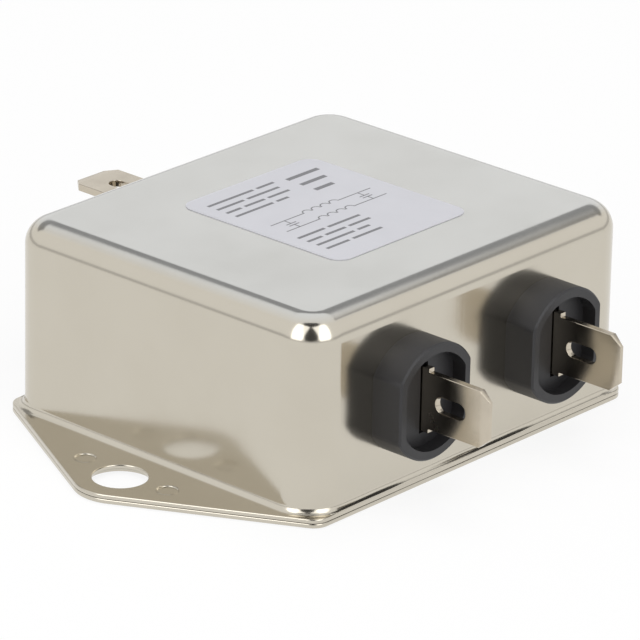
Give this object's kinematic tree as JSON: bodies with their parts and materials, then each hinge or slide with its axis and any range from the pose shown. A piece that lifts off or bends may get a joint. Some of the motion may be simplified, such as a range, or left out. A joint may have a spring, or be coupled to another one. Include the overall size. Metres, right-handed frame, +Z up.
{
  "type": "emi line filter",
  "caption": "Mains line filter in a drawn steel can with two fixing ears, blade terminals on both long sides and an earth blade.",
  "frame": {"origin": "middle of the two fixing holes, on the mounting plane", "axes": "+X along the fixing holes, +Y towards the line side with the earth blade, +Z up out of the mounting plane"},
  "size_m": [0.071, 0.067, 0.0224],
  "materials": {
    "can_steel": "satin plated sheet",
    "terminal_plastic": "fine moulded texture, slight gloss",
    "tinned_blade": "bright tin plating",
    "label_paper": "printed film label",
    "resin": "cast",
    "insulating_film": "translucent film",
    "coated_ferrite": "epoxy coat",
    "enamelled_copper": "enamelled",
    "capacitor_case": "moulded",
    "disc_coating": "dipped epoxy",
    "resistor_lacquer": "lacquer",
    "wire_insulation": "extruded"
  },
  "bodies": {
    "root": {"can": "can_steel", "base_plate": "can_steel", "insulator_line_left": "terminal_plastic", "insulator_line_right": "terminal_plastic", "insulator_load_left": "terminal_plastic", "insulator_load_right": "terminal_plastic", "tab_line_left": "tinned_blade", "tab_line_right": "tinned_blade", "tab_load_left": "tinned_blade", "tab_load_right": "tinned_blade", "earth_tab": "tinned_blade", "label": "label_paper", "potting": "resin", "base_insulation": "insulating_film", "choke_core_line": "coated_ferrite", "choke_core_load": "coated_ferrite", "winding_line_left": "enamelled_copper", "winding_line_right": "enamelled_copper", "winding_load_left": "enamelled_copper", "winding_load_right": "enamelled_copper", "divider_line": "terminal_plastic", "divider_load": "terminal_plastic", "x_capacitor_line": "capacitor_case", "x_capacitor_mid": "capacitor_case", "y_capacitor_left": "disc_coating", "y_capacitor_right": "disc_coating", "bleed_resistor": "resistor_lacquer", "jumper_wire": "wire_insulation"}
  },
  "joints": []
}
